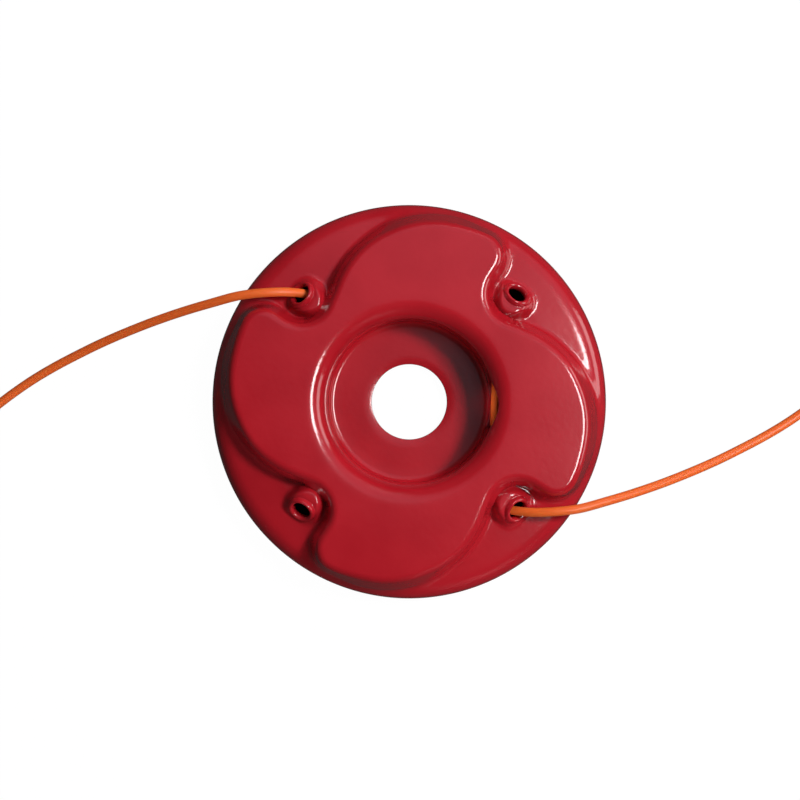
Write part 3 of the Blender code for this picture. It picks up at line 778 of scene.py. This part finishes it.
    def build(self) -> bpy.types.Object:
        """Return the closed sheet, with its bore, collars and window, dressed in enamel."""
        cup, cup_normals = self.cup_rings()
        skirt, skirt_normals = self.skirt_rings()
        spots, triangles, numbers = self.middle_zone(cup[-1][:, :2], skirt[0][:, :2])
        heights = self.surface(spots) - self.rim_drop(np.linalg.norm(spots, axis=1))
        heights[numbers[0]] = self.height
        middle_normals = self.surface_normals(spots)
        middle_normals[numbers[0]] = (0.0, 0.0, 1.0)
        upper = np.concatenate([np.column_stack([spots, heights]), *cup[:-1], *skirt[1:]])
        normals = np.concatenate([middle_normals, *cup_normals[:-1], *skirt_normals[1:]])
        count = self.round_steps
        loop = np.arange(count)
        first = len(spots)
        chain = [loop + first + count * k for k in range(len(cup) - 1)] + [numbers[0]]
        first += count * (len(cup) - 1)
        fall = [numbers[1]] + [loop + first + count * k for k in range(len(skirt) - 1)]
        quads = []
        for rings in (chain, fall):
            for low, high in zip(rings, rings[1:]):
                quads.append(np.column_stack([low, high, np.roll(high, -1), np.roll(low, -1)]))
        quads = np.concatenate(quads)
        lower = upper - self.sheet * normals
        size = len(upper)
        points = [upper, lower]
        faces = [triangles, quads, triangles[:, ::-1] + size, quads[:, ::-1] + size]
        total = 2 * size

        def strip(start: np.ndarray, rings: list[np.ndarray], end: np.ndarray) -> None:
            """Join a loop of the upper face through rings to its twin on the lower face."""
            nonlocal total
            places = [start]
            for ring in rings:
                places.append(np.arange(len(ring)) + total)
                points.append(ring)
                total += len(ring)
            places.append(end)
            for near, far in zip(places, places[1:]):
                faces.append(np.column_stack([near, np.roll(near, -1), np.roll(far, -1), far]))

        cut = self.cut_edge
        bore, top, low = self.bore / 2, self.cup_lift + self.sheet, self.cup_lift
        half = cut * (1 - math.sqrt(0.5))
        strip(
            chain[0],
            [
                self._ring(bore + half, top - half),
                self._ring(bore, top - cut),
                self._ring(bore, low + cut),
                self._ring(bore + half, low + half),
            ],
            chain[0] + size,
        )
        outer, inner = self.diameter / 2, self.diameter / 2 - self.sheet
        strip(
            fall[-1][::-1],
            [
                ring[::-1]
                for ring in (
                    self._ring(outer - half, half),
                    self._ring(outer - cut, 0.0),
                    self._ring(inner + cut, 0.0),
                    self._ring(inner + half, half),
                )
            ],
            (fall[-1] + size)[::-1],
        )
        for angle, numbers_here in zip(self.plan.angles(), numbers[2:]):
            rings = self.collar(angle, upper[numbers_here], normals[numbers_here])
            strip(numbers_here, rings, numbers_here + size)
        item = add_mesh(
            "enamelled_sheet",
            np.concatenate(points),
            [row for block in faces for row in block.tolist()],
        )
        self._punch(item)
        item.data.set_sharp_from_angle(angle=self.sharp_angle)
        item.data.materials.clear()
        item.data.materials.append(self.finish.material())
        return item

    def _punch(self, item: bpy.types.Object) -> None:
        """Punch the window: an arch, rounded at its foot, through the cup's wall."""
        wide, corner, sill = self.window_half_width, self.window_corner, self.window_sill
        turn = np.linspace(0, math.pi / 2, 7)
        foot = np.column_stack(
            [wide - corner + corner * np.cos(turn), sill + corner - corner * np.sin(turn)]
        )
        bend = np.linspace(0, math.pi, 41)[1:-1]
        rise = self.window_crown - self.window_shoulder
        arch = np.column_stack([-wide * np.cos(bend), self.window_shoulder + rise * np.sin(bend)])
        side = np.vstack([[wide, self.window_shoulder], foot])
        outline = np.vstack([side, side[::-1] * [-1, 1], arch])
        count = len(outline)
        near = np.column_stack([np.full(count, self.bore / 2 + self.cup_bottom / 2), outline])
        far = np.column_stack([np.full(count, self.window_reach), outline])
        around = np.arange(count)
        after = np.roll(around, -1)
        faces = [around.tolist(), (around + count)[::-1].tolist()]
        faces += np.column_stack([around, around + count, after + count, after]).tolist()
        cutter = add_mesh("window_cutter", np.vstack([near, far]), faces)
        cutter.data.transform(Matrix.Rotation(self.window_angle, 4, "Z"))
        shape = bmesh.new()
        shape.from_mesh(cutter.data)
        bmesh.ops.recalc_face_normals(shape, faces=shape.faces)
        shape.to_mesh(cutter.data)
        shape.free()
        step = item.modifiers.new("Window", "BOOLEAN")
        step.operation = "DIFFERENCE"
        step.solver = "EXACT"
        step.object = cutter
        graph = bpy.context.evaluated_depsgraph_get()
        punched = bpy.data.meshes.new_from_object(item.evaluated_get(graph))
        item.modifiers.clear()
        old = item.data
        item.data = punched
        bpy.data.meshes.remove(old)
        bpy.data.objects.remove(cutter)


@dataclass
class TrimmerLine:
    """One nylon line, a round cord from its hidden end behind the cup to its free end.

    The nose pairs shape its bevelled ends: shares of the radius, how far in and how wide.
    """

    name: str
    node: str
    route: np.ndarray
    finish: Nylon = field(default_factory=Nylon)
    diameter: float = 0.003
    length: float = 0.235
    spacing: float = 0.0012
    path_spacing: float = 0.004
    sides: int = 28
    nose: tuple[tuple[float, float], ...] = ((0.0, 0.88), (0.042, 0.965))
    sharp_angle: float = math.radians(50)
    chart_per_metre: float = 10.0

    def frames(self, path: np.ndarray) -> tuple[np.ndarray, np.ndarray, np.ndarray]:
        """Tangent, side and up at each point of the path, with up as near +Z as it can be."""
        tangent = np.gradient(path, axis=0)
        tangent /= np.linalg.norm(tangent, axis=1)[:, None]
        side = np.cross(np.array([0.0, 0.0, 1.0]), tangent)
        side /= np.linalg.norm(side, axis=1)[:, None]
        return tangent, side, np.cross(tangent, side)

    def build(self) -> bpy.types.Object:
        """Return the line: a circle carried along its path, p + r (cos a side + sin a up).

        At both ends the circle shrinks over a short bevel and then closes on the axis.
        """
        path = smooth_path(self.route, self.spacing)
        tangent, side, up = self.frames(path)
        radius = self.diameter / 2
        nose = [(radius * ahead, wide) for ahead, wide in self.nose]
        start = [path[0] + tangent[0] * ahead for ahead, _ in nose]
        end = [path[-1] - tangent[-1] * ahead for ahead, _ in reversed(nose)]
        spots = np.vstack([start, path[1:-1], end])
        sides = np.vstack([side[:1], side[:1], side[1:-1], side[-1:], side[-1:]])
        ups = np.vstack([up[:1], up[:1], up[1:-1], up[-1:], up[-1:]])
        scale = np.ones(len(spots))
        scale[:2] = [share for _, share in nose]
        scale[-2:] = scale[:2][::-1]
        turn = 2 * math.pi * np.arange(self.sides) / self.sides
        circle = np.cos(turn)[None, :, None] * sides[:, None, :]
        circle = circle + np.sin(turn)[None, :, None] * ups[:, None, :]
        rings = spots[:, None, :] + radius * scale[:, None, None] * circle
        count = self.sides
        points = np.vstack([rings.reshape(-1, 3), path[:1], path[-1:]])
        row = np.arange(count)
        after = np.roll(row, -1)
        base = (np.arange(len(spots) - 1) * count)[:, None, None]
        quad = np.stack([row, after, after + count, row + count], axis=-1)[None, :, :]
        faces = (base + quad).reshape(-1, 4).tolist()
        first, last = len(spots) * count, len(spots) * count + 1
        faces += np.column_stack([after, row, np.full(count, first)]).tolist()
        tail = (len(spots) - 1) * count
        faces += np.column_stack([row + tail, after + tail, np.full(count, last)]).tolist()
        item = add_mesh(self.name, points, faces)
        item.data.set_sharp_from_angle(angle=self.sharp_angle)
        self._chart(item, spots, count)
        item.data.materials.append(self.finish.material())
        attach(item, BODY)
        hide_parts(self.node)
        return item

    def _chart(self, item: bpy.types.Object, spots: np.ndarray, count: int) -> None:
        """Give the line a UV map, which repeats round it without a seam.

        With a the angle round the line and s the metres along it, u = (1 + cos a) / 2 and
        v = chart_per_metre s + sin a.
        """
        run = np.concatenate([[0.0], np.cumsum(np.linalg.norm(np.diff(spots, axis=0), axis=1))])
        mesh = item.data
        corners = np.empty(len(mesh.loops), dtype=int)
        mesh.loops.foreach_get("vertex_index", corners)
        ring = np.minimum(corners // count, len(spots) - 1)
        chart = mesh.uv_layers.new(name="along")
        turn = 2 * math.pi * (corners % count) / count
        along = run[ring] * self.chart_per_metre
        values = np.column_stack([0.5 + 0.5 * np.cos(turn), along + np.sin(turn)])
        chart.data.foreach_set("uv", values.ravel())


@dataclass(frozen=True)
class StudioLamp:
    """One lamp, aimed at a target, at an azimuth and elevation in degrees.

    All are rectangles but the spot, a cone with its angle as width and its soft size as height.
    """

    name: str
    job: Lamp
    azimuth: float
    elevation: float
    distance: float
    width: float
    height: float
    power: float
    target: tuple[float, float, float] = (0.0, 0.0, 0.015)

    def build(self) -> None:
        """Hang the lamp at its angles about its target.

        Window and strip only show as highlights; the others only light, with no mirror image.
        """
        if self.job is Lamp.SPOT:
            data = bpy.data.lights.new(self.name, "SPOT")
            data.spot_size = self.width
            data.spot_blend = 0.5
            data.shadow_soft_size = self.height
        else:
            data = bpy.data.lights.new(self.name, "AREA")
            data.shape = "RECTANGLE"
            data.size = self.width
            data.size_y = self.height
        data.energy = self.power
        lamp = bpy.data.objects.new(self.name, data)
        lamp.visible_glossy = self.job in (Lamp.WINDOW, Lamp.STRIP)
        lamp.visible_diffuse = not lamp.visible_glossy
        azimuth, elevation = math.radians(self.azimuth), math.radians(self.elevation)
        way = Vector((*(unit(azimuth) * math.cos(elevation)), math.sin(elevation)))
        lamp.location = Vector(self.target) + way * self.distance
        lamp.rotation_euler = (-way).to_track_quat("-Z", "Y").to_euler()
        bpy.context.scene.collection.objects.link(lamp)
        LOG.info("lamp %s, %s", self.name, self.job.value)


@dataclass
class Studio:
    """Camera, floor, white background and lamps.

    Camera and transmission rays see the background white, glossy rays a mirrored_share of that.
    The floor is white beyond one radius and within another; dark under the head, as painted shade.
    """

    lean: float = math.radians(0.5)
    distance: float = 0.5
    pixels_per_metre: float = 2945.0
    axis_pixel: tuple[float, float] = (409.2, 401.8)
    image: int = 800
    floor_half: float = 1.6
    floor_gap: float = 0.0002
    floor_colour: tuple[float, float, float, float] = (0.02, 0.02, 0.02, 1.0)
    # Painted shade: between these radii, under the head, the floor shows only its near-black colour.
    white_beyond: float = 0.0652
    white_within: float = 0.0150
    white_level: float = 0.985
    mirrored_share: float = 0.02
    sky_way: tuple[float, float, float] = (0.35, 0.45, 0.80)
    sky_dim: tuple[float, float, float, float] = (0.012, 0.012, 0.012, 1.0)
    sky_bright: tuple[float, float, float, float] = (0.33, 0.33, 0.40, 1.0)
    lamps: tuple[StudioLamp, ...] = (
        StudioLamp("key_lamp", Lamp.KEY, 20.0, 52.0, 0.8, 0.17, 0.17, 5.6),
        StudioLamp("north_fill", Lamp.FILL, 74.0, 25.0, 0.9, 0.40, 0.30, 3.0),
        StudioLamp("south_fill", Lamp.FILL, -66.0, 22.0, 0.9, 0.40, 0.30, 2.8),
        StudioLamp("west_fill", Lamp.FILL, 222.0, 14.0, 0.9, 0.40, 0.15, 0.5),
        StudioLamp("window_lamp", Lamp.WINDOW, -3.0, 63.0, 1.2, 0.47, 0.28, 6.5),
        StudioLamp("strip_lamp", Lamp.STRIP, 5.0, 18.0, 1.1, 0.9, 0.40, 2.9),
        StudioLamp(
            "window_spot", Lamp.SPOT, 180.0, 30.0, 0.6, math.radians(1.2), 0.004, 8.0,
            (0.0288, -0.0005, 0.0080),
        ),
    )

    def camera(self) -> None:
        """Set the camera at the photograph's angle: nearly overhead, leaning to +Y."""
        data = bpy.data.cameras.new("camera")
        data.sensor_width = 36.0
        data.lens = self.pixels_per_metre * self.distance / self.image * data.sensor_width
        data.shift_x = (self.image / 2 - self.axis_pixel[0]) / self.image
        data.shift_y = (self.axis_pixel[1] - self.image / 2) / self.image
        data.clip_start = 0.01
        camera = bpy.data.objects.new("camera", data)
        camera.location = self.distance * Vector((0, math.sin(self.lean), math.cos(self.lean)))
        camera.rotation_euler = (-self.lean, 0.0, 0.0)
        bpy.context.scene.collection.objects.link(camera)
        bpy.context.scene.camera = camera

    def floor(self) -> None:
        """Lay the floor: nearly black in itself, and white to the rays that see the background."""
        half = self.floor_half
        points = np.array([[-half, -half, 0], [half, -half, 0], [half, half, 0], [-half, half, 0]])
        item = add_mesh("floor", points - [0, 0, self.floor_gap], [[0, 1, 2, 3]])
        material = bpy.data.materials.new("pale_floor")
        material.use_nodes = True
        tree = material.node_tree
        shader = tree.nodes["Principled BSDF"]
        shader.inputs["Base Color"].default_value = self.floor_colour
        shader.inputs["Roughness"].default_value = 0.9
        shader.inputs["Specular IOR Level"].default_value = 0.1
        place = tree.nodes.new("ShaderNodeTexCoord")
        length = tree.nodes.new("ShaderNodeVectorMath")
        length.operation = "LENGTH"
        tree.links.new(place.outputs["Object"], length.inputs[0])
        # Painted shade: the white stops between the two radii, so the floor under the head stays dark.
        outside = self._compare(tree, length.outputs["Value"], "GREATER_THAN", self.white_beyond)
        inside = self._compare(tree, length.outputs["Value"], "LESS_THAN", self.white_within)
        shown = self._math(tree, "MAXIMUM", outside, inside)
        rays = tree.nodes.new("ShaderNodeLightPath")
        seen = self._background_rays(tree, rays)
        strength = self._math(tree, "MULTIPLY", seen, shown)
        level = self._math(tree, "MULTIPLY", strength, None)
        level.node.inputs[1].default_value = self.white_level
        shader.inputs["Emission Color"].default_value = (1.0, 1.0, 1.0, 1.0)
        tree.links.new(level, shader.inputs["Emission Strength"])
        item.data.materials.append(material)

    def _background_rays(
        self, tree: bpy.types.NodeTree, rays: bpy.types.Node
    ) -> bpy.types.NodeSocket:
        """How white a ray sees the background: camera and transmission fully, glossy in part."""
        seen = self._math(
            tree, "MAXIMUM", rays.outputs["Is Camera Ray"], rays.outputs["Is Transmission Ray"]
        )
        mirror = self._math(tree, "MULTIPLY", rays.outputs["Is Glossy Ray"], None)
        mirror.node.inputs[1].default_value = self.mirrored_share
        return self._math(tree, "MAXIMUM", seen, mirror)

    def _math(
        self,
        tree: bpy.types.NodeTree,
        operation: str,
        first: bpy.types.NodeSocket,
        second: bpy.types.NodeSocket | None,
    ) -> bpy.types.NodeSocket:
        """Add a Math node on one or two sockets and return its output."""
        node = tree.nodes.new("ShaderNodeMath")
        node.operation = operation
        tree.links.new(first, node.inputs[0])
        if second is not None:
            tree.links.new(second, node.inputs[1])
        return node.outputs[0]

    def _compare(
        self, tree: bpy.types.NodeTree, value: bpy.types.NodeSocket, operation: str, limit: float
    ) -> bpy.types.NodeSocket:
        """Compare a socket with a fixed limit and return 0 or 1."""
        node = self._math(tree, operation, value, None).node
        node.inputs[1].default_value = limit
        return node.outputs[0]

    def world(self) -> None:
        """Light softly from a sky that is paler up and to the right, white for the camera."""
        world = bpy.data.worlds.new("studio")
        bpy.context.scene.world = world
        world.use_nodes = True
        tree = world.node_tree
        tree.nodes.clear()
        output = tree.nodes.new("ShaderNodeOutputWorld")
        place = tree.nodes.new("ShaderNodeTexCoord")
        lean = tree.nodes.new("ShaderNodeVectorMath")
        lean.operation = "DOT_PRODUCT"
        lean.inputs[1].default_value = self.sky_way
        tree.links.new(place.outputs["Generated"], lean.inputs[0])
        ramp = tree.nodes.new("ShaderNodeValToRGB")
        ramp.color_ramp.elements[0].position = 0.71
        ramp.color_ramp.elements[0].color = self.sky_dim
        ramp.color_ramp.elements[1].position = 0.91
        ramp.color_ramp.elements[1].color = self.sky_bright
        tree.links.new(lean.outputs["Value"], ramp.inputs["Fac"])
        sky = tree.nodes.new("ShaderNodeBackground")
        tree.links.new(ramp.outputs["Color"], sky.inputs["Color"])
        rays = tree.nodes.new("ShaderNodeLightPath")
        white = tree.nodes.new("ShaderNodeBackground")
        white.inputs["Color"].default_value = (1.0, 1.0, 1.0, 1.0)
        seen = self._background_rays(tree, rays)
        mix = tree.nodes.new("ShaderNodeMixShader")
        tree.links.new(seen, mix.inputs[0])
        tree.links.new(sky.outputs[0], mix.inputs[1])
        tree.links.new(white.outputs[0], mix.inputs[2])
        tree.links.new(mix.outputs[0], output.inputs["Surface"])

    def build(self) -> None:
        """Set up everything that isn't part of the object."""
        scene = bpy.context.scene
        scene.view_settings.view_transform = "Standard"
        self.camera()
        self.floor()
        self.world()
        for lamp in self.lamps:
            lamp.build()


# The routes. From a hole outward both lines run alike, the right one turned half round the bore.
OUTWARD_ROUTE = np.array(
    [
        (-0.0035, 0.0318, 0.0076),
        (-0.0135, 0.0333, 0.0081),
        (-0.0228, 0.0346, 0.0096),
        (-0.0296, 0.0352, 0.0122),
        (-0.0353, 0.0358, 0.0150),
        (-0.0406, 0.0361, 0.0173),
        (-0.0475, 0.0358, 0.0187),
        (-0.0558, 0.0348, 0.0184),
        (-0.0648, 0.0326, 0.0163),
        (-0.0745, 0.0300, 0.0135),
        (-0.0845, 0.0269, 0.0105),
        (-0.0940, 0.0235, 0.0078),
        (-0.1030, 0.0199, 0.0054),
        (-0.1115, 0.0160, 0.0036),
        (-0.1200, 0.0117, 0.0024),
        (-0.1280, 0.0070, 0.0018),
        (-0.1355, 0.0018, 0.00165),
        (-0.1425, -0.0036, 0.00165),
    ]
)
LEFT_WRAP = np.array(
    [
        (0.0163, -0.0263, 0.0075),
        (0.0218, -0.0219, 0.0075),
        (0.0264, -0.0161, 0.0075),
        (0.0284, -0.0120, 0.0075),
        (0.0286, -0.0065, 0.0075),
        (0.0288, -0.0010, 0.0075),
        (0.0290, 0.0045, 0.0075),
        (0.0291, 0.0100, 0.0075),
        (0.0275, 0.0141, 0.0075),
        (0.0246, 0.0187, 0.0075),
        (0.0197, 0.0238, 0.0075),
        (0.0135, 0.0278, 0.0075),
        (0.0064, 0.0303, 0.0075),
    ]
)
RIGHT_WRAP = np.array(
    [
        (-0.0163, 0.0263, 0.0075),
        (-0.0218, 0.0219, 0.0075),
        (-0.0262, 0.0164, 0.0075),
        (-0.0293, 0.0099, 0.0075),
        (-0.0307, 0.0035, 0.0075),
        (-0.0307, -0.0035, 0.0075),
        (-0.0293, -0.0099, 0.0075),
        (-0.0262, -0.0164, 0.0075),
        (-0.0218, -0.0219, 0.0075),
        (-0.0163, -0.0263, 0.0075),
        (-0.0118, -0.0286, 0.0075),
        (-0.0064, -0.0303, 0.0075),
    ]
)


def main() -> None:
    """Build the studio, the lines and the sheet, and hide the imported parts that they replace."""
    logging.basicConfig(level=logging.INFO, format="%(name)s: %(message)s")
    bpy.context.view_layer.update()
    Studio().build()
    lines = (
        TrimmerLine("nylon_line_left", "line_left", np.vstack([LEFT_WRAP, OUTWARD_ROUTE])),
        TrimmerLine(
            "nylon_line_right", "line_right", np.vstack([RIGHT_WRAP, OUTWARD_ROUTE * [-1, -1, 1]])
        ),
    )
    for line in lines:
        item = line.build()
        LOG.info("%s: %d faces", item.name, len(item.data.polygons))
    sheet = PressedSheet().build()
    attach(sheet, BODY)
    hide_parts("shell")
    LOG.info("%s: %d faces", sheet.name, len(sheet.data.polygons))


if __name__ == "__main__":
    main()
